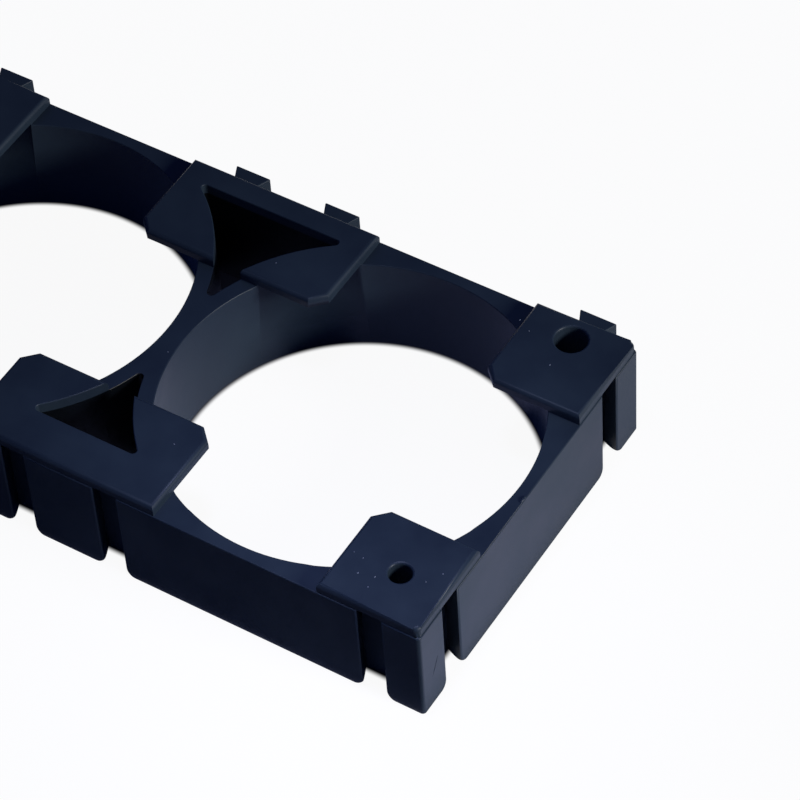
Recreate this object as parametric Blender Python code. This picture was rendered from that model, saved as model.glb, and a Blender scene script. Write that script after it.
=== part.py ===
"""Battery cell holder bracket, one moulded piece for two round cells side by side.

Frame: X runs along the row of cells, Y across it, Z up to the stop plates.
The origin is in the middle of the underside, on the web between the two bores.
The +Y side and the -X end carry dovetail rails, and the -Y side and the +X end
carry the grooves that take the rails of the next bracket. Lengths are in metres.
"""

import math

import bmesh
import bpy

# Row of cells
CELL_COUNT = 2
CELL_DIAMETER = 0.0323
CELL_CLEARANCE = 0.0007
BORE_WEB = 0.0020
SIDE_WALL = 0.0011

# Heights
TOTAL_HEIGHT = 0.0110
PLATE_THICKNESS = 0.00095
RING_STEP = 0.00011

# Stop plates
PLATE_LENGTH = 0.0096
PLATE_WIDTH = 0.0095
PLATE_CHAMFER = 0.00128
PLATE_SETBACK = 0.0001
PLATE_ROOT = 0.0010

# Three-pointed windows beside the web
WINDOW_WALL = 0.0015
WINDOW_ROUNDING = 0.00035
WINDOW_INSET_RAIL_SIDE = 0.0023
WINDOW_INSET_GROOVE_SIDE = 0.0040
WEB_MARGIN = 0.0010

# Holes in the corner posts, each place measured in from the plate's two edges
PIN_HOLE_DIAMETER = 0.0020
PIN_HOLE_INSET = 0.0043
SCREW_HOLE_DIAMETER = 0.0029
SCREW_HOLE_END_INSET = 0.0049
SCREW_HOLE_SIDE_INSET = 0.0024

# Dovetails
DOVETAIL_INSET = 0.00465
RAIL_NECK = 0.0020
RAIL_REACH = 0.00172
RAIL_ROOT = 0.0005
RAIL_FLARE = math.radians(25.0)
DOVETAIL_CLEARANCE = 0.0001
FOOT_RADIUS = 0.0008

# Rounded edges
PLATE_RIM_RADIUS = 0.0004
PLATE_CORNER_RADIUS = 0.0005
WALL_RIM_RADIUS = 0.0002
WALL_CORNER_RADIUS = 0.00035

# Making
OVERRUN = 0.0010
WELD_DISTANCE = 0.000001
BORE_SIDES = 144
HOLE_SIDES = 32
ARC_STEPS = 10
CORNER_STEPS = 6
RIM_STEPS = 5
CIRCULAR_PROFILE = 0.5

# Sizes worked out from the ones above
BORE_RADIUS = (CELL_DIAMETER + CELL_CLEARANCE) / 2
CELL_PITCH = 2 * BORE_RADIUS + BORE_WEB
BODY_HALF_WIDTH = BORE_RADIUS + SIDE_WALL
BODY_HALF_LENGTH = (CELL_COUNT - 1) * CELL_PITCH / 2 + BODY_HALF_WIDTH
PLATE_HALF_WIDTH = BODY_HALF_WIDTH - PLATE_SETBACK
PLATE_HALF_LENGTH = BODY_HALF_LENGTH - PLATE_SETBACK
PLATE_UNDERSIDE = TOTAL_HEIGHT - PLATE_THICKNESS
RING_TOP = PLATE_UNDERSIDE - RING_STEP
GROOVE_MOUTH = RAIL_NECK + 2 * DOVETAIL_CLEARANCE
GROOVE_DEPTH = RAIL_REACH + DOVETAIL_CLEARANCE
END_DOVETAIL_OFFSET = PLATE_HALF_WIDTH - DOVETAIL_INSET

BRACKET_NAME = "cell_holder_bracket"


def cell_centres():
    """X of each bore, from -X to +X."""
    first = -(CELL_COUNT - 1) * CELL_PITCH / 2
    return [first + index * CELL_PITCH for index in range(CELL_COUNT)]


def cell_boundaries():
    """X of each web between two neighbouring bores."""
    centres = cell_centres()
    return [(left + right) / 2 for left, right in zip(centres, centres[1:])]


def dovetail_places():
    """X of each dovetail on a long side: one near each end, two beside each web."""
    places = [DOVETAIL_INSET - PLATE_HALF_LENGTH]
    for boundary in cell_boundaries():
        places.append(boundary - DOVETAIL_INSET)
        places.append(boundary + DOVETAIL_INSET)
    places.append(PLATE_HALF_LENGTH - DOVETAIL_INSET)
    return places


def clear_scene():
    for item in list(bpy.data.objects):
        bpy.data.objects.remove(item, do_unlink=True)


def new_collection(name):
    collection = bpy.data.collections.new(name)
    bpy.context.scene.collection.children.link(collection)
    return collection


def arc(centre, radius, start, end, steps):
    """Points of an arc from one angle to another, both ends included."""
    points = []
    for index in range(steps + 1):
        angle = start + (end - start) * index / steps
        x = centre[0] + radius * math.cos(angle)
        y = centre[1] + radius * math.sin(angle)
        points.append((x, y))
    return points


def rounded_rectangle(half_length, half_width, radius):
    """Counter-clockwise outline of a rectangle with its four corners rounded."""
    x = half_length - radius
    y = half_width - radius
    right_angle = math.pi / 2
    outline = []
    for number, centre in enumerate(((x, y), (-x, y), (-x, -y), (x, -y))):
        start = number * right_angle
        outline += arc(centre, radius, start, start + right_angle, CORNER_STEPS)
    return outline


def outline_solid(name, outlines, bottom, top, collection):
    """Fill one or more closed outlines, give them height and weld them into a mesh object."""
    curve = bpy.data.curves.new(name, "CURVE")
    curve.dimensions = "2D"
    curve.fill_mode = "BOTH"
    curve.extrude = (top - bottom) / 2
    for outline in outlines:
        spline = curve.splines.new("POLY")
        spline.points.add(len(outline) - 1)
        for point, (x, y) in zip(spline.points, outline):
            point.co = (x, y, 0, 1)
        spline.use_cyclic_u = True
    drawn = bpy.data.objects.new(name + "_outline", curve)
    collection.objects.link(drawn)
    evaluated = drawn.evaluated_get(bpy.context.evaluated_depsgraph_get())
    mesh = bpy.data.meshes.new_from_object(evaluated)
    bpy.data.objects.remove(drawn, do_unlink=True)
    bpy.data.curves.remove(curve)
    shape = bmesh.new()
    shape.from_mesh(mesh)
    bmesh.ops.translate(shape, verts=shape.verts, vec=(0, 0, (top + bottom) / 2))
    bmesh.ops.remove_doubles(shape, verts=shape.verts, dist=WELD_DISTANCE)
    bmesh.ops.recalc_face_normals(shape, faces=shape.faces)
    shape.to_mesh(mesh)
    shape.free()
    mesh.name = name
    solid = bpy.data.objects.new(name, mesh)
    collection.objects.link(solid)
    return solid


def round_solid(name, radius, sides, centre, bottom, top, collection):
    """An upright cylinder, for a bore or a hole."""
    shape = bmesh.new()
    bmesh.ops.create_cone(
        shape, cap_ends=True, segments=sides, radius1=radius, radius2=radius, depth=top - bottom
    )
    mesh = bpy.data.meshes.new(name)
    shape.to_mesh(mesh)
    shape.free()
    solid = bpy.data.objects.new(name, mesh)
    solid.location = (centre[0], centre[1], (top + bottom) / 2)
    collection.objects.link(solid)
    return solid


def rimmed_prism(name, outline, bottom, top, rim_radius, collection):
    """An upright prism on a counter-clockwise outline, rounded along its top rim."""
    shape = bmesh.new()
    lower = [shape.verts.new((x, y, bottom)) for x, y in outline]
    upper = [shape.verts.new((x, y, top)) for x, y in outline]
    shape.faces.new(lower[::-1])
    rim = list(shape.faces.new(upper).edges)
    for index in range(len(outline)):
        last = index - 1
        shape.faces.new((lower[last], lower[index], upper[index], upper[last]))
    bmesh.ops.bevel(
        shape,
        geom=rim,
        offset=rim_radius,
        offset_type="OFFSET",
        segments=RIM_STEPS,
        profile=CIRCULAR_PROFILE,
        affect="EDGES",
    )
    bmesh.ops.recalc_face_normals(shape, faces=shape.faces)
    mesh = bpy.data.meshes.new(name)
    shape.to_mesh(mesh)
    shape.free()
    solid = bpy.data.objects.new(name, mesh)
    collection.objects.link(solid)
    return solid


def dovetail_outline(neck, reach, back):
    """Plan of a dovetail: straight behind the face at y = 0, flaring from it to the reach."""
    half_neck = neck / 2
    half_end = half_neck + reach * math.tan(RAIL_FLARE)
    return [
        (-half_neck, -back),
        (half_neck, -back),
        (half_neck, 0),
        (half_end, reach),
        (-half_end, reach),
        (-half_neck, 0),
    ]


def foot_outline():
    """Upright face view of a groove's bell mouth, which rounds the foot on either side of it."""
    half_mouth = GROOVE_MOUTH / 2
    outer = half_mouth + FOOT_RADIUS
    outline = [(-outer, -OVERRUN), (outer, -OVERRUN)]
    outline += arc((outer, FOOT_RADIUS), FOOT_RADIUS, -math.pi / 2, -math.pi, ARC_STEPS)
    outline += arc((-outer, FOOT_RADIUS), FOOT_RADIUS, 0, -math.pi / 2, ARC_STEPS)
    return outline


def mirror_across(outline, across_x):
    """A counter-clockwise outline mirrored in X or in Y, again counter-clockwise."""
    sign_x = -1 if across_x else 1
    return [(sign_x * x, -sign_x * y) for x, y in reversed(outline)]


def plate_outlines():
    """Plans of the stop plates: one in every corner, one on each side of every web."""
    inner = PLATE_HALF_WIDTH - PLATE_WIDTH
    slant = inner + PLATE_CHAMFER
    outer = PLATE_HALF_WIDTH
    end = PLATE_HALF_LENGTH
    start = end - PLATE_LENGTH
    radius = PLATE_CORNER_RADIUS
    corner = [(start, outer), (start, slant), (start + PLATE_CHAMFER, inner), (end, inner)]
    corner += arc((end - radius, outer - radius), radius, 0, math.pi / 2, CORNER_STEPS)
    rail_side = [corner, mirror_across(corner, True)]
    for boundary in cell_boundaries():
        left = boundary - PLATE_LENGTH
        right = boundary + PLATE_LENGTH
        middle = [(left, outer), (left, slant), (left + PLATE_CHAMFER, inner)]
        middle += [(right - PLATE_CHAMFER, inner), (right, slant), (right, outer)]
        rail_side.append(middle)
    return rail_side + [mirror_across(outline, False) for outline in rail_side]


def window_outline(side_inset):
    """Plan of a window on the +Y side of a web: two arcs round the bores and a straight edge."""
    wall_radius = BORE_RADIUS + WINDOW_WALL
    straight_y = PLATE_HALF_WIDTH - side_inset
    half_pitch = CELL_PITCH / 2
    least_tip_y = BORE_WEB / 2 + WEB_MARGIN
    tip_y = math.sqrt(max((wall_radius + WINDOW_ROUNDING) ** 2 - half_pitch ** 2, least_tip_y ** 2))
    tip_radius = math.hypot(half_pitch, tip_y) - wall_radius
    tip_turn = math.atan2(tip_y, half_pitch)
    corner_y = straight_y - WINDOW_ROUNDING
    corner_reach = wall_radius + WINDOW_ROUNDING
    corner_turn = math.asin(corner_y / corner_reach)
    corner_x = half_pitch - corner_reach * math.cos(corner_turn)
    tip = arc((0, tip_y), tip_radius, tip_turn - math.pi, -tip_turn, ARC_STEPS)
    right_wall = arc((half_pitch, 0), wall_radius, math.pi - tip_turn, math.pi - corner_turn, ARC_STEPS)
    right_corner = arc((corner_x, corner_y), WINDOW_ROUNDING, -corner_turn, math.pi / 2, ARC_STEPS)
    left_half = [(-x, y) for x, y in reversed(right_wall[1:-1] + right_corner)]
    return tip + right_wall[1:-1] + right_corner + left_half


def subtract(target, cutter):
    """Cut one solid out of another with a Boolean modifier that stays on the target."""
    cutter.hide_render = True
    cutter.display_type = "WIRE"
    boolean = target.modifiers.new(cutter.name, "BOOLEAN")
    boolean.operation = "DIFFERENCE"
    boolean.solver = "EXACT"
    boolean.object = cutter


def join(target, piece):
    """Join an overlapping solid to the target with a Boolean modifier."""
    piece.hide_render = True
    piece.display_type = "WIRE"
    boolean = target.modifiers.new(piece.name, "BOOLEAN")
    boolean.operation = "UNION"
    boolean.solver = "EXACT"
    boolean.object = piece


def ring_body(collection):
    """The block that the bores, windows and grooves are cut from, up to the ring's top face."""
    outline = rounded_rectangle(BODY_HALF_LENGTH, BODY_HALF_WIDTH, WALL_CORNER_RADIUS)
    return rimmed_prism(BRACKET_NAME, outline, 0, RING_TOP, WALL_RIM_RADIUS, collection)


def add_plates(block, cutters):
    """The stop plates, set back a little from the walls and rooted in the ring."""
    bottom = RING_TOP - PLATE_ROOT
    for number, outline in enumerate(plate_outlines()):
        name = "stop_plate_%d" % number
        join(block, rimmed_prism(name, outline, bottom, TOTAL_HEIGHT, PLATE_RIM_RADIUS, cutters))


def add_rails(block, cutters):
    """Dovetail rails on the +Y side and the -X end, up to the ring's top face."""
    outline = dovetail_outline(RAIL_NECK, RAIL_REACH, RAIL_ROOT)
    places = [((x, BODY_HALF_WIDTH, 0), 0) for x in dovetail_places()]
    for y in (-END_DOVETAIL_OFFSET, END_DOVETAIL_OFFSET):
        places.append(((-BODY_HALF_LENGTH, y, 0), math.pi / 2))
    for number, (location, turn) in enumerate(places):
        rail = outline_solid("rail_%d" % number, [outline], 0, RING_TOP, cutters)
        rail.location = location
        rail.rotation_euler.z = turn
        join(block, rail)


def cut_grooves(block, cutters):
    """Dovetail grooves on the -Y side and the +X end, open below, each with a bell mouth."""
    outline = dovetail_outline(GROOVE_MOUTH, GROOVE_DEPTH, OVERRUN)
    places = [((x, -BODY_HALF_WIDTH, 0), 0) for x in dovetail_places()]
    for y in (-END_DOVETAIL_OFFSET, END_DOVETAIL_OFFSET):
        places.append(((BODY_HALF_LENGTH, y, 0), math.pi / 2))
    foot_depth = GROOVE_DEPTH + DOVETAIL_CLEARANCE
    for number, (location, turn) in enumerate(places):
        groove = outline_solid("groove_%d" % number, [outline], -OVERRUN, PLATE_UNDERSIDE, cutters)
        groove.location = location
        groove.rotation_euler.z = turn
        subtract(block, groove)
        foot = outline_solid("foot_%d" % number, [foot_outline()], -foot_depth, OVERRUN, cutters)
        foot.location = location
        foot.rotation_euler = (math.pi / 2, 0, turn)
        subtract(block, foot)


def cut_bores(block, cutters):
    """The cells' bores, from below up to the underside of the stop plates."""
    for number, x in enumerate(cell_centres()):
        bore = round_solid(
            "bore_%d" % number, BORE_RADIUS, BORE_SIDES, (x, 0), -OVERRUN, PLATE_UNDERSIDE, cutters
        )
        subtract(block, bore)


def cut_windows(block, cutters):
    """A three-pointed window through each middle post, one on each side of a web."""
    sides = ((WINDOW_INSET_RAIL_SIDE, 0), (WINDOW_INSET_GROOVE_SIDE, math.pi))
    for boundary in cell_boundaries():
        for number, (inset, turn) in enumerate(sides):
            name = "window_%d" % number
            window = outline_solid(
                name, [window_outline(inset)], -OVERRUN, TOTAL_HEIGHT + OVERRUN, cutters
            )
            window.location.x = boundary
            window.rotation_euler.z = turn
            subtract(block, window)


def cut_corner_holes(block, cutters):
    """A pin hole in three corner posts and a wider screw hole in the fourth."""
    pin_x = PLATE_HALF_LENGTH - PIN_HOLE_INSET
    pin_y = PLATE_HALF_WIDTH - PIN_HOLE_INSET
    screw_x = PLATE_HALF_LENGTH - SCREW_HOLE_END_INSET
    screw_y = PLATE_HALF_WIDTH - SCREW_HOLE_SIDE_INSET
    holes = (
        (PIN_HOLE_DIAMETER, (-pin_x, -pin_y)),
        (PIN_HOLE_DIAMETER, (-pin_x, pin_y)),
        (PIN_HOLE_DIAMETER, (pin_x, -pin_y)),
        (SCREW_HOLE_DIAMETER, (screw_x, screw_y)),
    )
    for number, (diameter, centre) in enumerate(holes):
        hole = round_solid(
            "corner_hole_%d" % number,
            diameter / 2,
            HOLE_SIDES,
            centre,
            -OVERRUN,
            TOTAL_HEIGHT + OVERRUN,
            cutters,
        )
        subtract(block, hole)


def black_plastic():
    """Moulded ABS, near black with a navy cast and a satin skin."""
    material = bpy.data.materials.new("black_moulded_abs")
    material.use_nodes = True
    shader = material.node_tree.nodes["Principled BSDF"]
    shader.inputs["Base Color"].default_value = (0.013, 0.017, 0.028, 1)
    shader.inputs["Roughness"].default_value = 0.42
    shader.inputs["Metallic"].default_value = 0
    return material


def build_bracket():
    clear_scene()
    parts = new_collection(BRACKET_NAME)
    cutters = new_collection("cutters")
    block = ring_body(parts)
    block.data.materials.append(black_plastic())
    add_plates(block, cutters)
    add_rails(block, cutters)
    cut_grooves(block, cutters)
    cut_bores(block, cutters)
    cut_windows(block, cutters)
    cut_corner_holes(block, cutters)


build_bracket()
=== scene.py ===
"""Looks of a moulded battery cell holder bracket: one black plastic spacer with two open bores,
stop plates across them, and dovetail rails and grooves that lock it to brackets of its kind.

Laid out as a Blender add-on and run as a script. Lengths are in metres, written as millimetres
times MM, and the small marks' values say so where they are in mm. The moulding is the CAD
solid's own surface with what a press and a mould leave on it: soft edges, rounded groove mouths
and hole lips, a cut gate and the scuff of handling.
"""

import math

import bmesh
import bpy
from mathutils import Matrix, Vector


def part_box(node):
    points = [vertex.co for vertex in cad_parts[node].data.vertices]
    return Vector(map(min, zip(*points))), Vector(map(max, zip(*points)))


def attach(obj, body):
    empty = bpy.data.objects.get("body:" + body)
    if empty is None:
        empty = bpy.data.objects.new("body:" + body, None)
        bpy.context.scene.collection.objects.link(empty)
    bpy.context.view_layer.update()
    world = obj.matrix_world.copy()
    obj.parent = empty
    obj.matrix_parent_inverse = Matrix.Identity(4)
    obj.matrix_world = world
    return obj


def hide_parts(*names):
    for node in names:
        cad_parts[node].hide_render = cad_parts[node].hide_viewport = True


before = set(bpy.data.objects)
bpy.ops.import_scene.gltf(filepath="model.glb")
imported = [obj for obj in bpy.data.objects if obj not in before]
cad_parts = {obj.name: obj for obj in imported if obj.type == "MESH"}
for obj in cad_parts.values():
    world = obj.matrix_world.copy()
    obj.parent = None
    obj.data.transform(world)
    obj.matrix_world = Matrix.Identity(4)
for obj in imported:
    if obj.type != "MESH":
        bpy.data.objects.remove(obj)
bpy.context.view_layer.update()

bl_info = {
    "name": "Cell Holder Bracket",
    "version": (1, 0, 0),
    "blender": (4, 5, 0),
    "location": "View3D > Sidebar > Bracket",
    "description": "Dresses a moulded battery cell holder bracket and sets it on a studio floor",
    "category": "Object",
}

MM = 0.001
NODE = "cell_holder_bracket"
BODY = "root"

# The moulding's own levels and faces. The frame gives the outer ones.
LOW, HIGH = (Vector(corner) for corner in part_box(NODE))
PLATE_TOP = HIGH.z
END_WALL = HIGH.x
NEAR_WALL = LOW.y
PLATE_UNDERSIDE = 10.05 * MM
RING_TOP = 9.94 * MM
BORE_RADIUS = 16.5 * MM
BORE_CENTRE = 17.5 * MM
GROOVE_DEPTH = 1.82 * MM

# The box that the middle windows' walls lie in, from the middle, and the web between them and a bore
WINDOW_REACH_ALONG = 8.0 * MM
WINDOW_REACH_ACROSS = 15.3 * MM
WEB_THICKNESS = 0.4 * MM

# The boxes that the grooves lie in: how deep behind the wall, and how far from the middle
GROOVE_BOX_DEPTH = 2.0 * MM
GROOVE_REACH_ALONG = 33.0 * MM
GROOVE_REACH_ACROSS = 15.2 * MM

# Where a level or a face is taken to be the same, and what counts as one point
SAME_LEVEL = 0.01 * MM
WELD = 0.001 * MM

# Faces closer than the first angle are one face, edges sharper than the second may be rounded, and
# those sharper than the third stay sharp in the shading. An edge whose direction has the last share
# of its length along Z is upright.
FLAT_ANGLE = math.radians(0.5)
EDGE_ANGLE = math.radians(40)
SHADING_ANGLE = math.radians(32)
UPRIGHT_SHARE = 0.999

# How much more a large face counts than a small one in the shading
FACE_WEIGHT = 100

# How finely the roundings are made
BEVEL_SEGMENTS = 3
SECTION_STEPS = 8
FOOT_STEPS = 12
LIP_STEPS = 48

# Shares of the plastic's cloudiness between which its tone and its gloss change
TONE_SPAN = (0.3, 0.72)
GLOSS_SPAN = (0.3, 0.7)

WHITE = (1.0, 1.0, 1.0, 1.0)

# The camera's sensor, and how near and how far it sees
SENSOR_WIDTH_IN_MM = 36.0
VIEW_NEAR = 10 * MM
VIEW_FAR = 10000 * MM


def hex_to_linear(code):
    """A #RRGGBB colour in sRGB as the linear RGBA that shader sockets take."""
    shares = [int(code[i:i + 2], 16) / 255 for i in (1, 3, 5)]
    return tuple(s / 12.92 if s <= 0.04045 else ((s + 0.055) / 1.055) ** 2.4 for s in shares) + (1.0,)


def add_node(tree, kind, sockets=None, **settings):
    """Adds a node, sets its settings, and fills or links its input sockets by name or number."""
    node = tree.nodes.new(kind)
    for name, value in settings.items():
        setattr(node, name, value)
    for key, value in (sockets or {}).items():
        if isinstance(value, bpy.types.NodeSocket):
            tree.links.new(value, node.inputs[key])
        else:
            node.inputs[key].default_value = value
    return node


def new_material(name):
    """An empty node material of that name."""
    material = bpy.data.materials.new(name)
    material.use_nodes = True
    material.node_tree.nodes.clear()
    return material


def window_wall_shade_mask(tree, place):
    """1 on the walls of the middle windows, deep in the moulding, and 0 elsewhere: where the plastic takes
    a painted shade.
    """
    folded = add_node(tree, "ShaderNodeVectorMath", {0: place}, operation="ABSOLUTE").outputs[0]
    parts = add_node(tree, "ShaderNodeSeparateXYZ", {0: folded}).outputs
    off_centre = add_node(tree, "ShaderNodeVectorMath", {
        0: folded, 1: (BORE_CENTRE, 0.0, 0.0)}, operation="SUBTRACT").outputs[0]
    off_centre = add_node(tree, "ShaderNodeVectorMath", {
        0: off_centre, 1: (1.0, 1.0, 0.0)}, operation="MULTIPLY").outputs[0]
    off_centre = add_node(tree, "ShaderNodeVectorMath", {
        0: off_centre}, operation="LENGTH").outputs["Value"]
    tests = (
        (parts["X"], "LESS_THAN", WINDOW_REACH_ALONG),
        (parts["Y"], "LESS_THAN", WINDOW_REACH_ACROSS),
        (parts["Z"], "LESS_THAN", RING_TOP - SAME_LEVEL),
        (off_centre, "GREATER_THAN", BORE_RADIUS + WEB_THICKNESS))
    inside = 1.0
    for value, operation, limit in tests:
        passed = add_node(tree, "ShaderNodeMath", {0: value, 1: limit}, operation=operation)
        inside = add_node(tree, "ShaderNodeMath", {
            0: passed.outputs[0], 1: inside}, operation="MULTIPLY").outputs[0]
    return inside


def moulded_black_abs(finish):
    """Black ABS with a navy cast, injection moulded against a fine eroded cavity: a satin skin whose
    gloss wanders a little, with a faint grain that shows where light grazes it. The grain is drawn
    coarser than the real one, so that it shows in the render. The walls of the middle windows get a
    near black painted shade, for the little light that reaches deep into them."""
    material = new_material("black_abs_satin_moulded")
    tree = material.node_tree
    place = add_node(tree, "ShaderNodeTexCoord").outputs["Object"]
    grain = add_node(tree, "ShaderNodeTexNoise", {
        "Vector": place, "Scale": 1 / finish.grain_size, "Detail": 3.0, "Roughness": 0.6})
    clouds = add_node(tree, "ShaderNodeTexNoise", {
        "Vector": place, "Scale": 1 / finish.cloud_size, "Detail": 4.0, "Roughness": 0.55})
    tone = add_node(tree, "ShaderNodeValToRGB", {"Fac": clouds.outputs["Fac"]})
    for stop, position, colour in zip(
            tone.color_ramp.elements, TONE_SPAN, (finish.dark_colour, finish.light_colour)):
        stop.position = position
        stop.color = colour
    # Painted shade: the middle windows' walls take a near black colour in place of the plastic's tone, for
    # the little light that reaches deep into them.
    shaded = add_node(tree, "ShaderNodeMixRGB", {
        "Fac": window_wall_shade_mask(tree, place), "Color1": tone.outputs["Color"],
        "Color2": finish.painted_recess_shade})
    gloss = add_node(tree, "ShaderNodeMapRange", {
        "Value": clouds.outputs["Fac"], "From Min": GLOSS_SPAN[0], "From Max": GLOSS_SPAN[1],
        "To Min": finish.roughness - finish.roughness_swing,
        "To Max": finish.roughness + finish.roughness_swing})
    relief = add_node(tree, "ShaderNodeBump", {
        "Height": grain.outputs["Fac"], "Strength": finish.grain_strength,
        "Distance": finish.grain_depth})
    skin = add_node(tree, "ShaderNodeBsdfPrincipled", {
        "Base Color": shaded.outputs["Color"], "Roughness": gloss.outputs["Result"],
        "IOR": 1.5, "Specular IOR Level": finish.specular, "Normal": relief.outputs["Normal"]})
    add_node(tree, "ShaderNodeOutputMaterial", {"Surface": skin.outputs["BSDF"]})
    return material


def pale_dust(dust):
    """Mineral dust and lint: dull grey flecks that catch the eye as pin pricks of light."""
    material = new_material("dust_pale_matt")
    tree = material.node_tree
    place = add_node(tree, "ShaderNodeTexCoord").outputs["Object"]
    clumps = add_node(tree, "ShaderNodeTexNoise", {
        "Vector": place, "Scale": 1 / dust.clump_size, "Detail": 1.0})
    tone = add_node(tree, "ShaderNodeMixRGB", {
        "Fac": clumps.outputs["Fac"], "Color1": dust.dark_colour, "Color2": dust.light_colour})
    matt = add_node(tree, "ShaderNodeBsdfPrincipled", {
        "Base Color": tone.outputs["Color"], "Roughness": 0.9, "Specular IOR Level": 0.2})
    add_node(tree, "ShaderNodeOutputMaterial", {"Surface": matt.outputs["BSDF"]})
    return material


def painted_shade_openness(tree, place, reach):
    """0 under the moulding and in its windows, rising to 1 at that reach away from its walls:
    outside, in the bores and in the feet of the grooves. Where it is low the floor is drawn darker,
    a painted shade under and beside the bracket."""
    folded = add_node(tree, "ShaderNodeVectorMath", {0: place}, operation="ABSOLUTE").outputs[0]
    past_walls = add_node(tree, "ShaderNodeVectorMath", {
        0: folded, 1: (END_WALL - GROOVE_DEPTH, -NEAR_WALL - GROOVE_DEPTH, 0.0)},
        operation="SUBTRACT").outputs[0]
    past_walls = add_node(tree, "ShaderNodeVectorMath", {0: past_walls}, operation="MAXIMUM").outputs[0]
    outside = add_node(tree, "ShaderNodeVectorMath", {0: past_walls}, operation="LENGTH").outputs["Value"]
    off_centre = add_node(tree, "ShaderNodeVectorMath", {
        0: folded, 1: (BORE_CENTRE, 0.0, 0.0)}, operation="DISTANCE").outputs["Value"]
    inside = add_node(tree, "ShaderNodeMath", {
        0: BORE_RADIUS, 1: off_centre}, operation="SUBTRACT").outputs[0]
    beyond_bore = add_node(tree, "ShaderNodeMath", {
        0: off_centre, 1: BORE_RADIUS}, operation="GREATER_THAN").outputs[0]
    outside = add_node(tree, "ShaderNodeMath", {
        0: outside, 1: beyond_bore}, operation="MULTIPLY").outputs[0]
    clear = add_node(tree, "ShaderNodeMath", {0: outside, 1: inside}, operation="MAXIMUM").outputs[0]
    return add_node(tree, "ShaderNodeMapRange", {
        "Value": clear, "From Min": 0.0, "From Max": reach},
        interpolation_type="SMOOTHSTEP").outputs["Result"]


def pale_floor(stage):
    """Matt paper, seen lifted towards plain white by camera and transmitted rays where it lies open.
    Under the bracket, in its windows and in a thin band along the bores' walls and the grooves' backs
    that white fades to black, a painted shade; a small share of the paper's own light keeps the
    shadow that the bracket throws on it. Glossy rays see the white lift only away from the bracket,
    fading out over the gloss reach towards its walls, a painted shade in reflections; in front of the
    near side they see a near black sheet instead of the paper, painted shade for the shadow there."""
    material = new_material("white_paper_matt")
    tree = material.node_tree
    place = add_node(tree, "ShaderNodeTexCoord").outputs["Object"]
    fibre = add_node(tree, "ShaderNodeTexNoise", {
        "Vector": place, "Scale": 1 / stage.fibre_size, "Detail": 2.0})
    tone = add_node(tree, "ShaderNodeMixRGB", {
        "Fac": fibre.outputs["Fac"], "Color1": stage.floor_dark, "Color2": stage.floor_light})
    paper = add_node(tree, "ShaderNodeBsdfDiffuse", {"Color": tone.outputs["Color"]})
    lift = add_node(tree, "ShaderNodeEmission", {"Color": WHITE, "Strength": 1.0})
    ray = add_node(tree, "ShaderNodeLightPath").outputs
    # Painted shade in reflections: in front of the near wall, glossy rays see a near black sheet in place
    # of the paper, for the shadow on the floor there.
    across = add_node(tree, "ShaderNodeSeparateXYZ", {0: place}).outputs["Y"]
    past_painted_shade_sheet = add_node(tree, "ShaderNodeMapRange", {
        "Value": across, "From Min": NEAR_WALL - stage.painted_shade_sheet_fade, "From Max": NEAR_WALL},
        interpolation_type="SMOOTHSTEP").outputs["Result"]
    # Painted shade in reflections: glossy rays see the white lift only away from the bracket, and it fades
    # out towards its walls.
    by_gloss = add_node(tree, "ShaderNodeMath", {
        0: ray["Is Glossy Ray"], 1: past_painted_shade_sheet}, operation="MULTIPLY")
    by_gloss = add_node(tree, "ShaderNodeMath", {
        0: by_gloss.outputs[0], 1: painted_shade_openness(tree, place, stage.gloss_reach)},
        operation="MULTIPLY")
    on_painted_shade_sheet = add_node(tree, "ShaderNodeMath", {0: 1.0, 1: past_painted_shade_sheet}, operation="SUBTRACT")
    on_painted_shade_sheet = add_node(tree, "ShaderNodeMath", {
        0: on_painted_shade_sheet.outputs[0], 1: ray["Is Glossy Ray"]}, operation="MULTIPLY")
    # Painted shade: the near black sheet that glossy rays see in front of the near wall.
    painted_shade_sheet = add_node(tree, "ShaderNodeBsdfDiffuse", {"Color": stage.painted_shade_sheet_colour})
    ground = add_node(tree, "ShaderNodeMixShader", {
        "Fac": on_painted_shade_sheet.outputs[0], 1: paper.outputs["BSDF"], 2: painted_shade_sheet.outputs["BSDF"]})
    mirrored = add_node(tree, "ShaderNodeMixShader", {
        "Fac": by_gloss.outputs[0], 1: ground.outputs["Shader"], 2: lift.outputs["Emission"]})
    straight = add_node(tree, "ShaderNodeMath", {
        0: ray["Is Camera Ray"], 1: ray["Is Transmission Ray"]}, operation="MAXIMUM")
    share = add_node(tree, "ShaderNodeMath", {
        0: straight.outputs[0], 1: stage.floor_lift}, operation="MULTIPLY")
    # Painted shade: the white that the camera sees fades to black under the bracket, in its windows and in
    # a thin band along the bores' walls and the grooves' backs.
    plain = add_node(tree, "ShaderNodeEmission", {
        "Color": painted_shade_openness(tree, place, stage.contact_reach), "Strength": 1.0})
    mix = add_node(tree, "ShaderNodeMixShader", {
        "Fac": share.outputs[0], 1: mirrored.outputs["Shader"], 2: plain.outputs["Emission"]})
    add_node(tree, "ShaderNodeOutputMaterial", {"Surface": mix.outputs["Shader"]})
    return material


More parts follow.
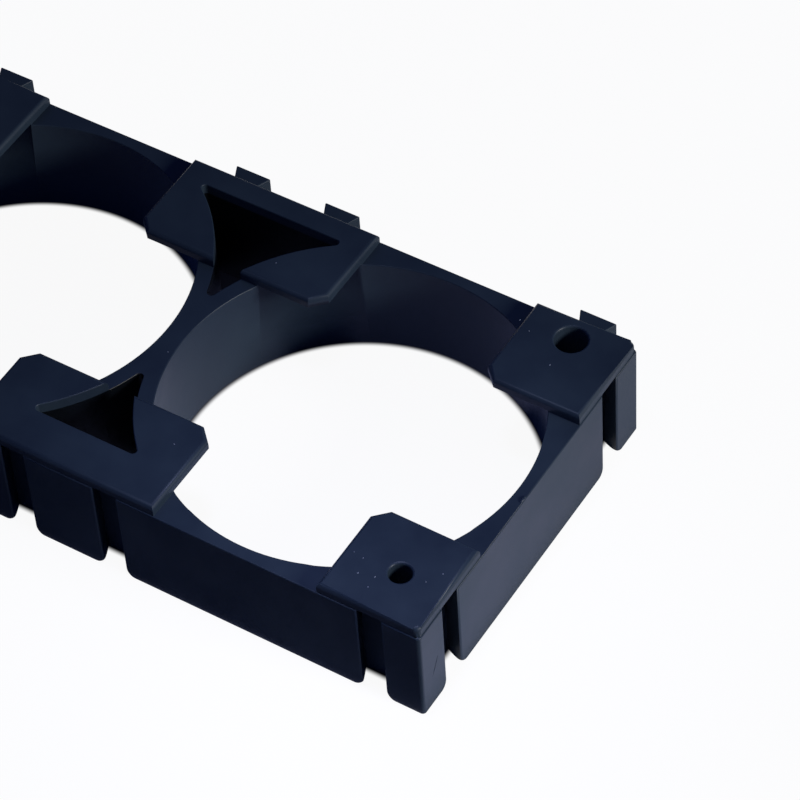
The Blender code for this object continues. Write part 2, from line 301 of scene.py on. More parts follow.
def white_surround(stage):
    """A dim even fill for the bracket, and plain white wherever the camera or glass sees past the
    floor. The satin plastic's gloss sees a small share of that white."""
    world = bpy.data.worlds.new("white_surround")
    world.use_nodes = True
    tree = world.node_tree
    tree.nodes.clear()
    ray = add_node(tree, "ShaderNodeLightPath").outputs
    seen = add_node(tree, "ShaderNodeMath", {
        0: ray["Is Camera Ray"], 1: ray["Is Transmission Ray"]}, operation="MAXIMUM")
    gloss = add_node(tree, "ShaderNodeMath", {
        0: ray["Is Glossy Ray"], 1: stage.surround_gloss}, operation="MULTIPLY")
    seen = add_node(tree, "ShaderNodeMath", {
        0: seen.outputs[0], 1: gloss.outputs[0]}, operation="MAXIMUM")
    fill = add_node(tree, "ShaderNodeBackground", {
        "Color": stage.fill_colour, "Strength": stage.fill_strength})
    white = add_node(tree, "ShaderNodeBackground", {"Color": WHITE, "Strength": 1.0})
    mix = add_node(tree, "ShaderNodeMixShader", {
        "Fac": seen.outputs[0], 1: fill.outputs[0], 2: white.outputs[0]})
    add_node(tree, "ShaderNodeOutputWorld", {"Surface": mix.outputs[0]})
    bpy.context.scene.world = world


def new_object(name, data):
    """A new object at the origin, in the scene."""
    item = bpy.data.objects.new(name, data)
    bpy.context.scene.collection.objects.link(item)
    return item


def empty_mesh_object(name):
    """An object for a Geometry Nodes tree to fill."""
    return new_object(name, bpy.data.meshes.new(name))


def bake_modifiers(item):
    """Turns an object's live modifiers into its plain mesh."""
    graph = bpy.context.evaluated_depsgraph_get()
    mesh = bpy.data.meshes.new_from_object(item.evaluated_get(graph))
    item.modifiers.clear()
    item.data = mesh


def merge_close_points(piece):
    """Merges points that a modifier left together, and drops what that leaves without a surface."""
    work = bmesh.new()
    work.from_mesh(piece.data)
    bmesh.ops.remove_doubles(work, verts=work.verts, dist=WELD / 2)
    bmesh.ops.dissolve_degenerate(work, edges=work.edges, dist=WELD / 2)
    work.to_mesh(piece.data)
    work.free()


def merged_copy(node, name):
    """A welded copy of a CAD node's mesh, its flat faces joined, as a new object."""
    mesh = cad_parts[node].data.copy()
    mesh.name = name
    work = bmesh.new()
    work.from_mesh(mesh)
    bmesh.ops.remove_doubles(work, verts=work.verts, dist=WELD)
    bmesh.ops.dissolve_limit(work, angle_limit=FLAT_ANGLE, verts=work.verts, edges=work.edges)
    work.to_mesh(mesh)
    work.free()
    mesh.materials.clear()
    return new_object(name, mesh)


def on_level(points, level):
    """Whether all the points lie at one height."""
    return all(abs(point.z - level) < SAME_LEVEL for point in points)


def beyond_walls(points):
    """Whether all the points lie on the rails' side of the railed walls."""
    return all(point.y > -NEAR_WALL + SAME_LEVEL or point.x < -END_WALL - SAME_LEVEL for point in points)


def in_groove(point):
    """Whether a point lies inside a dovetail groove or on its bell mouth."""
    near = NEAR_WALL + SAME_LEVEL < point.y < NEAR_WALL + GROOVE_BOX_DEPTH
    end = END_WALL - GROOVE_BOX_DEPTH < point.x < END_WALL - SAME_LEVEL
    return near and abs(point.x) < GROOVE_REACH_ALONG or end and abs(point.y) < GROOVE_REACH_ACROSS


def softness_of(edge, form):
    """How far an edge is rounded, as a share of the softest edge: 0 leaves it as the CAD has it."""
    if len(edge.link_faces) != 2 or edge.calc_face_angle_signed() < EDGE_ANGLE:
        return 0.0
    points = [vertex.co for vertex in edge.verts]
    along = (points[1] - points[0]).normalized()
    if beyond_walls(points) and (abs(along.z) > UPRIGHT_SHARE or on_level(points, RING_TOP)):
        return form.rail_softness
    if on_level(points, PLATE_TOP):
        return form.window_softness
    if on_level(points, RING_TOP) and not any(in_groove(point) for point in points):
        return form.rim_softness
    return 0.0


def soften_edges(piece, form):
    """Rounds the edges that a mould leaves soft, each by its own share of the softest one."""
    work = bmesh.new()
    work.from_mesh(piece.data)
    work.normal_update()
    shares = work.edges.layers.float.new("bevel_weight_edge")
    for edge in work.edges:
        edge[shares] = softness_of(edge, form)
    work.to_mesh(piece.data)
    work.free()
    bevel = piece.modifiers.new("soft_edges", "BEVEL")
    bevel.limit_method = "WEIGHT"
    bevel.width = form.softest_edge
    bevel.segments = BEVEL_SEGMENTS
    bevel.use_clamp_overlap = False
    bevel.miter_outer = "MITER_SHARP"
    bake_modifiers(piece)
    merge_close_points(piece)


def path_curve(name, lines, closed):
    """A curve of straight steps through points, each with its share of the full rounding."""
    curve = bpy.data.curves.new(name, "CURVE")
    curve.dimensions = "3D"
    for line in lines:
        spline = curve.splines.new("POLY")
        spline.points.add(len(line) - 1)
        spline.use_cyclic_u = closed
        for point, (place, share) in zip(spline.points, line):
            point.co = (*place, 1.0)
            point.radius = share
    return new_object(name, curve)


def corner_profile():
    """Section of what is taken off a square edge, for a rounding of 1: X out of the face, Y into the
    open air beside it, the edge at the origin."""
    overrun = 0.5
    outline = []
    for index in range(SECTION_STEPS + 1):
        angle = math.pi / 2 * index / SECTION_STEPS
        outline.append(Vector((math.cos(angle) - 1, math.sin(angle) - 1, 0)))
    outline += [Vector((-1, overrun, 0)), Vector((overrun, overrun, 0)), Vector((overrun, -1, 0))]
    return path_curve("corner_profile", [[(point, 1.0) for point in outline]], True)


def new_tree(name, **sockets):
    """A Geometry Nodes tree with a geometry in and out, and inputs of the given names and kinds.
    Returns the tree and the sockets that give its inputs."""
    tree = bpy.data.node_groups.new(name, "GeometryNodeTree")
    tree.interface.new_socket("Geometry", in_out="INPUT", socket_type="NodeSocketGeometry")
    for label, kind in sockets.items():
        tree.interface.new_socket(label, in_out="INPUT", socket_type="NodeSocket" + kind)
    tree.interface.new_socket("Geometry", in_out="OUTPUT", socket_type="NodeSocketGeometry")
    return tree, add_node(tree, "NodeGroupInput").outputs


def end_tree(tree, geometry, material):
    """Gives what a tree has made its material, and ends it in real geometry."""
    finished = add_node(tree, "GeometryNodeSetMaterial", {"Geometry": geometry, "Material": material})
    plain = add_node(tree, "GeometryNodeRealizeInstances", {"Geometry": finished.outputs["Geometry"]})
    add_node(tree, "NodeGroupOutput", {"Geometry": plain.outputs["Geometry"]})
    return tree


def edge_rounding_tree():
    """Geometry Nodes that sweep a corner section along the edges it is to round."""
    tree, given = new_tree("edge_rounding", Edges="Object", Section="Object", Outward="Vector",
                           Rounding="Float", Material="Material")
    edges = add_node(tree, "GeometryNodeObjectInfo", {"Object": given["Edges"]})
    section = add_node(tree, "GeometryNodeObjectInfo", {"Object": given["Section"]})
    sized = add_node(tree, "GeometryNodeTransform", {
        "Geometry": section.outputs["Geometry"], "Scale": given["Rounding"]})
    faced = add_node(tree, "GeometryNodeSetCurveNormal", {
        "Curve": edges.outputs["Geometry"], "Normal": given["Outward"]}, mode="FREE")
    share = add_node(tree, "GeometryNodeInputRadius")
    swept = add_node(tree, "GeometryNodeCurveToMesh", {
        "Curve": faced.outputs["Curve"], "Profile Curve": sized.outputs["Geometry"],
        "Scale": share.outputs["Radius"], "Fill Caps": True})
    return end_tree(tree, swept.outputs["Mesh"], given["Material"])


def add_tree(item, tree, values):
    """Puts a Geometry Nodes tree on an object, its inputs given by name and set by identifier."""
    modifier = item.modifiers.new(tree.name, "NODES")
    modifier.node_group = tree
    for socket in tree.interface.items_tree:
        if socket.in_out == "INPUT" and socket.name in values:
            modifier[socket.identifier] = values[socket.name]


def mouth_lines(centre, along, form):
    """The two edges of a groove's mouth, from the foot's curve to the top, each directed so that the
    groove's air is on the section's open side."""
    half = form.groove_mouth / 2
    foot = form.foot_radius
    left = []
    right = []
    for index in range(FOOT_STEPS + 1):
        angle = math.pi / 2 * index / FOOT_STEPS
        share = max(form.foot_fade, math.sin(angle))
        rise = Vector((0, 0, foot * (1 - math.cos(angle))))
        reach = half + foot * (1 - math.sin(angle))
        left.append((centre - along * reach + rise, share))
        right.append((centre + along * reach + rise, share))
    top = Vector((0, 0, PLATE_UNDERSIDE - SAME_LEVEL))
    left.append((centre - along * half + top, 1.0))
    right.append((centre + along * half + top, 1.0))
    return [left, right[::-1]]


def circle_line(x, y, radius):
    """A hole's rim, clockwise from above, so that the hole is on the section's open side."""
    line = []
    for index in range(LIP_STEPS):
        angle = -2 * math.pi * index / LIP_STEPS
        line.append((Vector((x + radius * math.cos(angle), y + radius * math.sin(angle), PLATE_TOP)), 1.0))
    return line


def rounding_cutters(form, material):
    """One closed mesh for each group of edges that the moulding has rounded by a cut."""
    near = [Vector((x, NEAR_WALL, 0)) for x in (-form.dovetail_far, -form.dovetail_near,
                                                form.dovetail_near, form.dovetail_far)]
    end = [Vector((END_WALL, y, 0)) for y in (-form.dovetail_end, form.dovetail_end)]
    near_lines = [line for centre in near for line in mouth_lines(centre, Vector((1, 0, 0)), form)]
    end_lines = [line for centre in end for line in mouth_lines(centre, Vector((0, 1, 0)), form)]
    pins = [(-form.pin_x, -form.pin_y), (-form.pin_x, form.pin_y), (form.pin_x, -form.pin_y)]
    pin_lines = [circle_line(x, y, form.pin_diameter / 2) for x, y in pins]
    screw_line = circle_line(form.screw_x, form.screw_y, form.screw_diameter / 2)
    groups = (
        ("near_mouths", near_lines, False, (0.0, -1.0, 0.0), form.mouth_rounding),
        ("end_mouths", end_lines, False, (1.0, 0.0, 0.0), form.mouth_rounding),
        ("hole_lips", pin_lines + [screw_line], True, (0.0, 0.0, 1.0), form.lip_rounding))
    tree = edge_rounding_tree()
    section = corner_profile()
    cutters = []
    for name, lines, closed, outward, rounding in groups:
        edges = path_curve(name + "_edges", lines, closed)
        cutter = empty_mesh_object(name)
        add_tree(cutter, tree, {
            "Edges": edges, "Section": section, "Outward": outward, "Rounding": rounding,
            "Material": material})
        bake_modifiers(cutter)
        bpy.data.objects.remove(edges)
        cutters.append(cutter)
    bpy.data.objects.remove(section)
    return cutters


# What is left of the cut gate, in mm, and which uneven skin it has
GATE_STUB_PLACE = Vector((END_WALL / MM - 0.17, -1.12, 9.93))
GATE_STUB_HALF_SIZES = (0.16, 0.42, 0.17)
GATE_SEED = 4

# The long scuff on the near end post, in mm, and which uneven skin it has. Its middle lies a hair
# off the wall, so that none of its points lies in the wall's plane, where a cut is unsure.
SCUFF_OFF_WALL = 0.008
SCUFF_FROM = Vector((END_WALL / MM + SCUFF_OFF_WALL, -15.10, 5.22))
SCUFF_TO = Vector((END_WALL / MM + SCUFF_OFF_WALL, -16.01, 3.46))
SCUFF_DEPTH = 0.035
SCUFF_HALF_WIDTH = 0.07
SCUFF_SEED = 9

# Waves along X, Y and Z that make a pebble uneven, and the share of its size that they swell it by
PEBBLE_WAVES = (5, 7, 3)
PEBBLE_SWELL = 0.12


def pebble(name, centre, sizes, turn, seed):
    """A closed lump with an uneven skin, for a scuff or a stub, from its place and half sizes in mm
    and a matrix that turns it, as a new object."""
    mesh = bpy.data.meshes.new(name)
    work = bmesh.new()
    bmesh.ops.create_icosphere(work, subdivisions=3, radius=1.0)
    for vertex in work.verts:
        x, y, z = (waves * part for waves, part in zip(PEBBLE_WAVES, vertex.co))
        grown = vertex.co * (1 + PEBBLE_SWELL * math.sin(seed + x) * math.cos(seed + y + z))
        shaped = Vector([part * size * MM for part, size in zip(grown, sizes)])
        vertex.co = turn @ shaped + centre * MM
    work.to_mesh(mesh)
    work.free()
    return new_object(name, mesh)


def gate_stub():
    """What is left of the cut gate, a low lump on the ring's end edge."""
    return pebble("gate_stub", GATE_STUB_PLACE, GATE_STUB_HALF_SIZES, Matrix.Identity(3), GATE_SEED)


def scuff():
    """The long scuff on the near end post, to be cut out of it."""
    stroke = SCUFF_TO - SCUFF_FROM
    sizes = (SCUFF_DEPTH + SCUFF_OFF_WALL, SCUFF_HALF_WIDTH, stroke.length / 2)
    lean = Vector((0, 0, -1)).rotation_difference(stroke.normalized()).to_matrix()
    return pebble("scuff", (SCUFF_FROM + SCUFF_TO) / 2, sizes, lean, SCUFF_SEED)


def add_boolean(piece, other, operation):
    """Joins or cuts another closed mesh, and drops it."""
    work = bmesh.new()
    work.from_mesh(other.data)
    bmesh.ops.recalc_face_normals(work, faces=work.faces)
    work.to_mesh(other.data)
    work.free()
    cut = piece.modifiers.new(other.name, "BOOLEAN")
    cut.operation = operation
    cut.solver = "MANIFOLD"
    cut.object = other
    bake_modifiers(piece)
    merge_close_points(piece)
    bpy.data.objects.remove(other)


def tidy_skin(piece):
    """Shades the roundings smooth into the flat faces, whose own direction counts for all."""
    piece.data.shade_smooth()
    piece.data.set_sharp_from_angle(angle=SHADING_ANGLE)
    even = piece.modifiers.new("even_shading", "WEIGHTED_NORMAL")
    even.keep_sharp = True
    even.weight = FACE_WEIGHT
    bake_modifiers(piece)


# Where specks of dust lie on the plates and the ring, in mm
ON_PLATE = PLATE_TOP / MM
ON_RING = RING_TOP / MM
SPECKS = (
    (29.15, -14.55, ON_PLATE), (32.96, -12.97, ON_PLATE), (25.24, 14.87, ON_PLATE),
    (26.54, 14.17, ON_PLATE), (29.99, 11.74, ON_PLATE), (3.61, 10.30, ON_PLATE),
    (0.59, -2.02, ON_RING), (26.33, -13.22, ON_PLATE), (27.29, -13.38, ON_PLATE),
    (29.20, -15.68, ON_PLATE), (27.75, -14.88, ON_PLATE), (33.72, -11.61, ON_PLATE),
    (7.32, -10.93, ON_PLATE),
)

# How far a speck turns at most, and the least and most of its sizes as shares of the grain
SPECK_MOST_TURN = (0.3, 0.3, math.tau)
SPECK_LEAST_SHARES = (0.6, 0.4, 0.3)
SPECK_MOST_SHARES = (1.4, 0.9, 0.6)


def speck_tree():
    """Geometry Nodes that put a flat uneven grain, turned and sized by chance, on each point."""
    tree, given = new_tree("specks", Grain="Float", Seed="Int", Material="Material")
    grain = add_node(tree, "GeometryNodeMeshIcoSphere", {"Radius": given["Grain"], "Subdivisions": 2})
    turn = add_node(tree, "FunctionNodeRandomValue", {
        0: (0.0, 0.0, 0.0), 1: SPECK_MOST_TURN, "Seed": given["Seed"]}, data_type="FLOAT_VECTOR")
    size = add_node(tree, "FunctionNodeRandomValue", {
        0: SPECK_LEAST_SHARES, 1: SPECK_MOST_SHARES, "Seed": given["Seed"]}, data_type="FLOAT_VECTOR")
    strewn = add_node(tree, "GeometryNodeInstanceOnPoints", {
        "Points": given["Geometry"], "Instance": grain.outputs["Mesh"],
        "Rotation": turn.outputs[0], "Scale": size.outputs[0]})
    return end_tree(tree, strewn.outputs["Instances"], given["Material"])


def finish_piece(piece, material, *nodes):
    """Gives a finished piece its material and its body, and hides the CAD nodes that it stands in for."""
    piece.data.materials.clear()
    piece.data.materials.append(material)
    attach(piece, BODY)
    if nodes:
        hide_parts(*nodes)


class BracketForm(bpy.types.PropertyGroup):
    """What the mould and the press add to the CAD solid's shape"""
    softest_edge: bpy.props.FloatProperty(
        name="Softest edge", description="Rounding of the softest mould edges",
        default=0.16 * MM, unit="LENGTH", precision=5)
    rail_softness: bpy.props.FloatProperty(
        name="Rail softness", description="Rounding of the rails as a share of the softest edge",
        default=1.0, min=0.0, max=1.0, subtype="FACTOR")
    window_softness: bpy.props.FloatProperty(
        name="Window softness", description="Rounding of the windows' rims as a share of the softest edge",
        default=0.6, min=0.0, max=1.0, subtype="FACTOR")
    rim_softness: bpy.props.FloatProperty(
        name="Bore rim softness", description="Rounding of the bores' rims as a share of the softest edge",
        default=0.6, min=0.0, max=1.0, subtype="FACTOR")
    groove_mouth: bpy.props.FloatProperty(
        name="Groove mouth", description="Width of a dovetail groove at the wall",
        default=2.2 * MM, unit="LENGTH", precision=5)
    foot_radius: bpy.props.FloatProperty(
        name="Foot radius", description="Radius of the bell mouth at a groove's foot",
        default=0.8 * MM, unit="LENGTH", precision=5)
    foot_fade: bpy.props.FloatProperty(
        name="Foot fade", description="Share of the mouth's rounding left at the underside",
        default=0.08, min=0.0, max=1.0, subtype="FACTOR")
    mouth_rounding: bpy.props.FloatProperty(
        name="Mouth rounding", description="Rounding of the grooves' mouths",
        default=0.26 * MM, unit="LENGTH", precision=5)
    lip_rounding: bpy.props.FloatProperty(
        name="Lip rounding", description="Rounding of the corner holes' lips",
        default=0.2 * MM, unit="LENGTH", precision=5)
    dovetail_near: bpy.props.FloatProperty(
        name="Middle dovetails", description="From the middle to the middle dovetails",
        default=4.65 * MM, unit="LENGTH", precision=5)
    dovetail_far: bpy.props.FloatProperty(
        name="Outer dovetails", description="From the middle to the outer dovetails",
        default=30.35 * MM, unit="LENGTH", precision=5)
    dovetail_end: bpy.props.FloatProperty(
        name="End dovetails", description="From the middle to the end dovetails",
        default=12.85 * MM, unit="LENGTH", precision=5)
    pin_x: bpy.props.FloatProperty(
        name="Pin hole along", description="From the middle to a pin hole along the row",
        default=30.7 * MM, unit="LENGTH", precision=5)
    pin_y: bpy.props.FloatProperty(
        name="Pin hole across", description="From the middle to a pin hole across the row",
        default=13.2 * MM, unit="LENGTH", precision=5)
    pin_diameter: bpy.props.FloatProperty(
        name="Pin hole", description="Diameter of the three pin holes",
        default=2.0 * MM, unit="LENGTH", precision=5)
    screw_x: bpy.props.FloatProperty(
        name="Screw hole along", description="From the middle to the screw hole along the row",
        default=30.1 * MM, unit="LENGTH", precision=5)
    screw_y: bpy.props.FloatProperty(
        name="Screw hole across", description="From the middle to the screw hole across the row",
        default=15.1 * MM, unit="LENGTH", precision=5)
    screw_diameter: bpy.props.FloatProperty(
        name="Screw hole", description="Diameter of the screw hole",
        default=2.9 * MM, unit="LENGTH", precision=5)


class BracketFinish(bpy.types.PropertyGroup):
    """The plastic's skin"""
    dark_colour: bpy.props.FloatVectorProperty(
        name="Dark tone", description="The plastic's darker patches",
        default=hex_to_linear("#171F29"), size=4, min=0.0, max=1.0, subtype="COLOR")
    light_colour: bpy.props.FloatVectorProperty(
        name="Light tone", description="The plastic's lighter patches",
        default=hex_to_linear("#202A33"), size=4, min=0.0, max=1.0, subtype="COLOR")
    # Painted shade: the near black colour given to the middle windows' walls, for the little light that
    # reaches them.
    painted_recess_shade: bpy.props.FloatVectorProperty(
        name="Painted recess shade", description="The windows' walls, where little light reaches",
        default=hex_to_linear("#030508"), size=4, min=0.0, max=1.0, subtype="COLOR")
    roughness: bpy.props.FloatProperty(
        name="Roughness", description="Mean roughness of the satin skin",
        default=0.42, min=0.0, max=1.0, subtype="FACTOR")
    roughness_swing: bpy.props.FloatProperty(
        name="Roughness swing", description="How far the roughness wanders",
        default=0.08, min=0.0, max=1.0, subtype="FACTOR")
    specular: bpy.props.FloatProperty(
        name="Specular", description="Strength of the skin's reflection",
        default=0.155, min=0.0, max=1.0, subtype="FACTOR")
    grain_size: bpy.props.FloatProperty(
        name="Grain size", description="Size of the eroded grain",
        default=0.18 * MM, unit="LENGTH", precision=5)
    grain_depth: bpy.props.FloatProperty(
        name="Grain depth", description="Depth of the eroded grain",
        default=0.01 * MM, unit="LENGTH", precision=6)
    grain_strength: bpy.props.FloatProperty(
        name="Grain strength", description="Share of the grain that shows",
        default=0.5, min=0.0, max=1.0, subtype="FACTOR")
    cloud_size: bpy.props.FloatProperty(
        name="Cloud size", description="Size of the patches of tone and gloss",
        default=9.0 * MM, unit="LENGTH", precision=5)


class BracketDust(bpy.types.PropertyGroup):
    """The specks of dust"""
    grain: bpy.props.FloatProperty(
        name="Grain", description="Mean radius of a speck of dust",
        default=0.07 * MM, unit="LENGTH", precision=5)
    seed: bpy.props.IntProperty(
        name="Seed", description="Which chance turns and sizes the specks", default=3)
    dark_colour: bpy.props.FloatVectorProperty(
        name="Dark dust", description="The duller specks",
        default=hex_to_linear("#3A4250"), size=4, min=0.0, max=1.0, subtype="COLOR")
    light_colour: bpy.props.FloatVectorProperty(
        name="Light dust", description="The paler specks",
        default=hex_to_linear("#8A9098"), size=4, min=0.0, max=1.0, subtype="COLOR")
    clump_size: bpy.props.FloatProperty(
        name="Clump size", description="How far apart duller and paler specks lie",
        default=2.0 * MM, unit="LENGTH", precision=5)


class BracketStage(bpy.types.PropertyGroup):
    """The floor, the lights, the surround and the camera"""
    floor_dark: bpy.props.FloatVectorProperty(
        name="Floor dark", description="The paper's darker patches",
        default=hex_to_linear("#E6E6E8"), size=4, min=0.0, max=1.0, subtype="COLOR")
    floor_light: bpy.props.FloatVectorProperty(
        name="Floor light", description="The paper's lighter patches",
        default=hex_to_linear("#F0F0F2"), size=4, min=0.0, max=1.0, subtype="COLOR")
    floor_lift: bpy.props.FloatProperty(
        name="Floor lift", description="Share of plain white that is seen on the open floor",
        default=0.94, min=0.0, max=1.0, subtype="FACTOR")
    floor_span: bpy.props.FloatProperty(
        name="Floor span", description="Side of the square floor",
        default=3000.0 * MM, unit="LENGTH")
    fibre_size: bpy.props.FloatProperty(
        name="Fibre size", description="Size of the paper's cloudiness",
        default=8.0 * MM, unit="LENGTH", precision=5)
    # The reaches of the painted shade on the floor beside the bracket's walls, as the camera and as
    # reflections see it.
    contact_reach: bpy.props.FloatProperty(
        name="Contact reach", description="How far from a wall the camera sees the floor in full light",
        default=0.6 * MM, unit="LENGTH", precision=5)
    gloss_reach: bpy.props.FloatProperty(
        name="Gloss reach", description="How far from a wall reflections see the floor in full light",
        default=40.0 * MM, unit="LENGTH", precision=5)
    # Painted shade for reflections: a near black sheet in front of the near wall that only glossy rays
    # see, standing in for the shadow on the floor there.
    painted_shade_sheet_fade: bpy.props.FloatProperty(
        name="Shade sheet fade", description="How softly the near side's dark card begins",
        default=0.3 * MM, unit="LENGTH", precision=5)
    painted_shade_sheet_colour: bpy.props.FloatVectorProperty(
        name="Shade sheet", description="The near side's dark card",
        default=hex_to_linear("#0C0C0E"), size=4, min=0.0, max=1.0, subtype="COLOR")
    surround_gloss: bpy.props.FloatProperty(
        name="Surround gloss", description="Share of plain white that gloss sees past the floor",
        default=0.05, min=0.0, max=1.0, subtype="FACTOR")
    fill_colour: bpy.props.FloatVectorProperty(
        name="Fill", description="Colour of the even fill",
        default=hex_to_linear("#4C76F8"), size=4, min=0.0, max=1.0, subtype="COLOR")
    fill_strength: bpy.props.FloatProperty(
        name="Fill strength", description="Strength of the even fill", default=0.22, min=0.0)
    key_azimuth: bpy.props.FloatProperty(
        name="Key azimuth", description="Plan angle of the key from +X towards +Y",
        default=math.radians(2.0), subtype="ANGLE")
    key_elevation: bpy.props.FloatProperty(
        name="Key elevation", description="Height angle of the key",
        default=math.radians(21.0), subtype="ANGLE")
    key_distance: bpy.props.FloatProperty(
        name="Key distance", description="From the bracket to the key",
        default=700.0 * MM, unit="LENGTH")
    key_span: bpy.props.FloatProperty(
        name="Key span", description="Side of the square key", default=140.0 * MM, unit="LENGTH")
    key_power: bpy.props.FloatProperty(
        name="Key power", description="Power of the key", default=5.9, min=0.0, unit="POWER")
    key_colour: bpy.props.FloatVectorProperty(
        name="Key colour", description="Colour of the key's light",
        default=hex_to_linear("#FFFFFF"), size=4, min=0.0, max=1.0, subtype="COLOR")
    top_place: bpy.props.FloatVectorProperty(
        name="Top box", description="Where the box over the near corner hangs",
        default=(26.0 * MM, -18.0 * MM, 150.0 * MM), unit="LENGTH")
    top_span: bpy.props.FloatProperty(
        name="Top span", description="Side of the square top box", default=20.0 * MM, unit="LENGTH")
    top_spread: bpy.props.FloatProperty(
        name="Top spread", description="Width of the top box's beam",
        default=math.radians(34.0), subtype="ANGLE")
    top_power: bpy.props.FloatProperty(
        name="Top power", description="Power of the top box",
        default=0.0078, min=0.0, unit="POWER", precision=4)
    top_colour: bpy.props.FloatVectorProperty(
        name="Top colour", description="Colour of the top box's light",
        default=hex_to_linear("#C2CAFF"), size=4, min=0.0, max=1.0, subtype="COLOR")
    view_azimuth: bpy.props.FloatProperty(
        name="View azimuth", description="Plan angle of the camera from -Y towards +X",
        default=math.radians(34.87), subtype="ANGLE")
    view_elevation: bpy.props.FloatProperty(
        name="View elevation", description="Height angle of the camera",
        default=math.radians(49.15), subtype="ANGLE")
    view_roll: bpy.props.FloatProperty(
        name="View roll", description="Turn of the picture about the view line",
        default=math.radians(-4.17), subtype="ANGLE")
    view_distance: bpy.props.FloatProperty(
        name="View distance", description="From the view's centre to the camera",
        default=328.4 * MM, unit="LENGTH", precision=4)
    view_centre: bpy.props.FloatVectorProperty(
        name="View centre", description="Where the view line meets the floor",
        default=(15.65 * MM, 10.11 * MM, 0.0), unit="LENGTH", precision=5)
    lens: bpy.props.FloatProperty(
        name="Lens", description="Focal length on a 36 mm sensor", default=170.09, unit="CAMERA")


class BRACKET_OT_moulding(bpy.types.Operator):
    """Builds the dressed moulding over the CAD solid"""
    bl_idname = "bracket.moulding"
    bl_label = "Dress the Moulding"

    def execute(self, context):
        form = context.scene.bracket_form
        plastic = moulded_black_abs(context.scene.bracket_finish)
        piece = merged_copy(NODE, "moulded_bracket")
        soften_edges(piece, form)
        for cutter in rounding_cutters(form, plastic):
            add_boolean(piece, cutter, "DIFFERENCE")
        add_boolean(piece, gate_stub(), "UNION")
        add_boolean(piece, scuff(), "DIFFERENCE")
        tidy_skin(piece)
        finish_piece(piece, plastic, NODE)
        return {"FINISHED"}


class BRACKET_OT_dust(bpy.types.Operator):
    """Strews the specks of dust on the plates"""
    bl_idname = "bracket.dust"
    bl_label = "Strew the Dust"

    def execute(self, context):
        dust = context.scene.bracket_dust
        material = pale_dust(dust)
        mesh = bpy.data.meshes.new("dust_flecks")
        mesh.from_pydata([Vector(place) * MM for place in SPECKS], [], [])
        piece = new_object("dust_flecks", mesh)
        add_tree(piece, speck_tree(), {"Grain": dust.grain, "Seed": dust.seed, "Material": material})
        bake_modifiers(piece)
        finish_piece(piece, material)
        return {"FINISHED"}


def sphere_point(azimuth, elevation, distance):
    """A point at a distance, its plan angle counted from +X towards +Y."""
    flat = distance * math.cos(elevation)
    return Vector((flat * math.cos(azimuth), flat * math.sin(azimuth), distance * math.sin(elevation)))


def place_camera(stage):
    """The camera, looking at its centre point from its angle, with its roll."""
    lens = bpy.data.cameras.new("camera")
    lens.sensor_width = SENSOR_WIDTH_IN_MM
    lens.lens = stage.lens
    lens.clip_start = VIEW_NEAR
    lens.clip_end = VIEW_FAR
    camera = new_object("camera", lens)
    offset = sphere_point(stage.view_azimuth - math.pi / 2, stage.view_elevation, stage.view_distance)
    turn = (-offset).to_track_quat("-Z", "Y").to_matrix()
    roll = Matrix.Rotation(stage.view_roll, 3, "Z")
    place = Matrix.Translation(Vector(stage.view_centre) + offset)
    camera.matrix_world = place @ (turn @ roll).to_4x4()
    bpy.context.scene.camera = camera


def place_box(name, place, target, span, power, colour, spread=math.pi):
    """A square soft box at a place, facing its target, with a beam of that width. The camera doesn't
    see it."""
    lamp = bpy.data.lights.new(name, "AREA")
    lamp.shape = "SQUARE"
    lamp.size = span
    lamp.energy = power
    lamp.color = colour[:3]
    lamp.spread = spread
    turn = (target - place).to_track_quat("-Z", "Y").to_matrix().to_4x4()
    box = new_object(name, lamp)
    box.matrix_world = Matrix.Translation(place) @ turn
    box.visible_camera = False


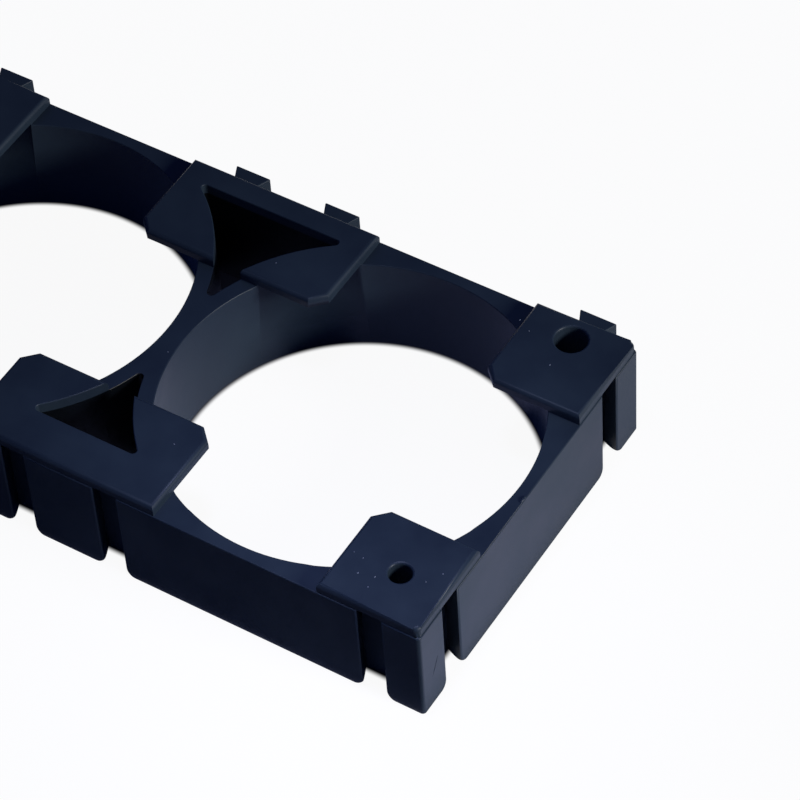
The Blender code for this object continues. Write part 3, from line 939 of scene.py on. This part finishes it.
class BRACKET_OT_stage(bpy.types.Operator):
    """Sets the floor, the lights, the surround and the camera"""
    bl_idname = "bracket.stage"
    bl_label = "Set the Stage"

    def execute(self, context):
        stage = context.scene.bracket_stage
        mesh = bpy.data.meshes.new("floor")
        work = bmesh.new()
        bmesh.ops.create_grid(work, x_segments=1, y_segments=1, size=stage.floor_span / 2)
        work.to_mesh(mesh)
        work.free()
        floor = new_object("floor", mesh)
        floor.data.materials.append(pale_floor(stage))
        white_surround(stage)
        key_place = sphere_point(stage.key_azimuth, stage.key_elevation, stage.key_distance)
        place_box("key", key_place, Vector(), stage.key_span, stage.key_power, stage.key_colour)
        top_place = Vector(stage.top_place)
        top_foot = Vector((top_place.x, top_place.y, 0))
        place_box("top_box", top_place, top_foot, stage.top_span, stage.top_power, stage.top_colour,
                  stage.top_spread)
        place_camera(stage)
        context.scene.view_settings.view_transform = "Standard"
        return {"FINISHED"}


class BRACKET_PT_panel(bpy.types.Panel):
    """Lists the bracket's sizes and colours, and its operators"""
    bl_idname = "BRACKET_PT_panel"
    bl_label = "Cell Holder Bracket"
    bl_space_type = "VIEW_3D"
    bl_region_type = "UI"
    bl_category = "Bracket"

    def draw(self, context):
        for name in GROUPS:
            group = getattr(context.scene, name)
            for key in group.bl_rna.properties.keys():
                if key not in ("rna_type", "name"):
                    self.layout.prop(group, key)
        for operator in OPERATORS:
            self.layout.operator(operator.bl_idname)


GROUPS = {
    "bracket_form": BracketForm,
    "bracket_finish": BracketFinish,
    "bracket_dust": BracketDust,
    "bracket_stage": BracketStage,
}
OPERATORS = (BRACKET_OT_moulding, BRACKET_OT_dust, BRACKET_OT_stage)
CLASSES = tuple(GROUPS.values()) + OPERATORS + (BRACKET_PT_panel,)


def register():
    for item in CLASSES:
        bpy.utils.register_class(item)
    for name, group in GROUPS.items():
        setattr(bpy.types.Scene, name, bpy.props.PointerProperty(type=group))


def unregister():
    for name in GROUPS:
        delattr(bpy.types.Scene, name)
    for item in reversed(CLASSES):
        bpy.utils.unregister_class(item)


def main():
    """Builds the pieces and the stage."""
    register()
    bpy.ops.bracket.moulding()
    bpy.ops.bracket.dust()
    bpy.ops.bracket.stage()


if __name__ == "__main__":
    main()
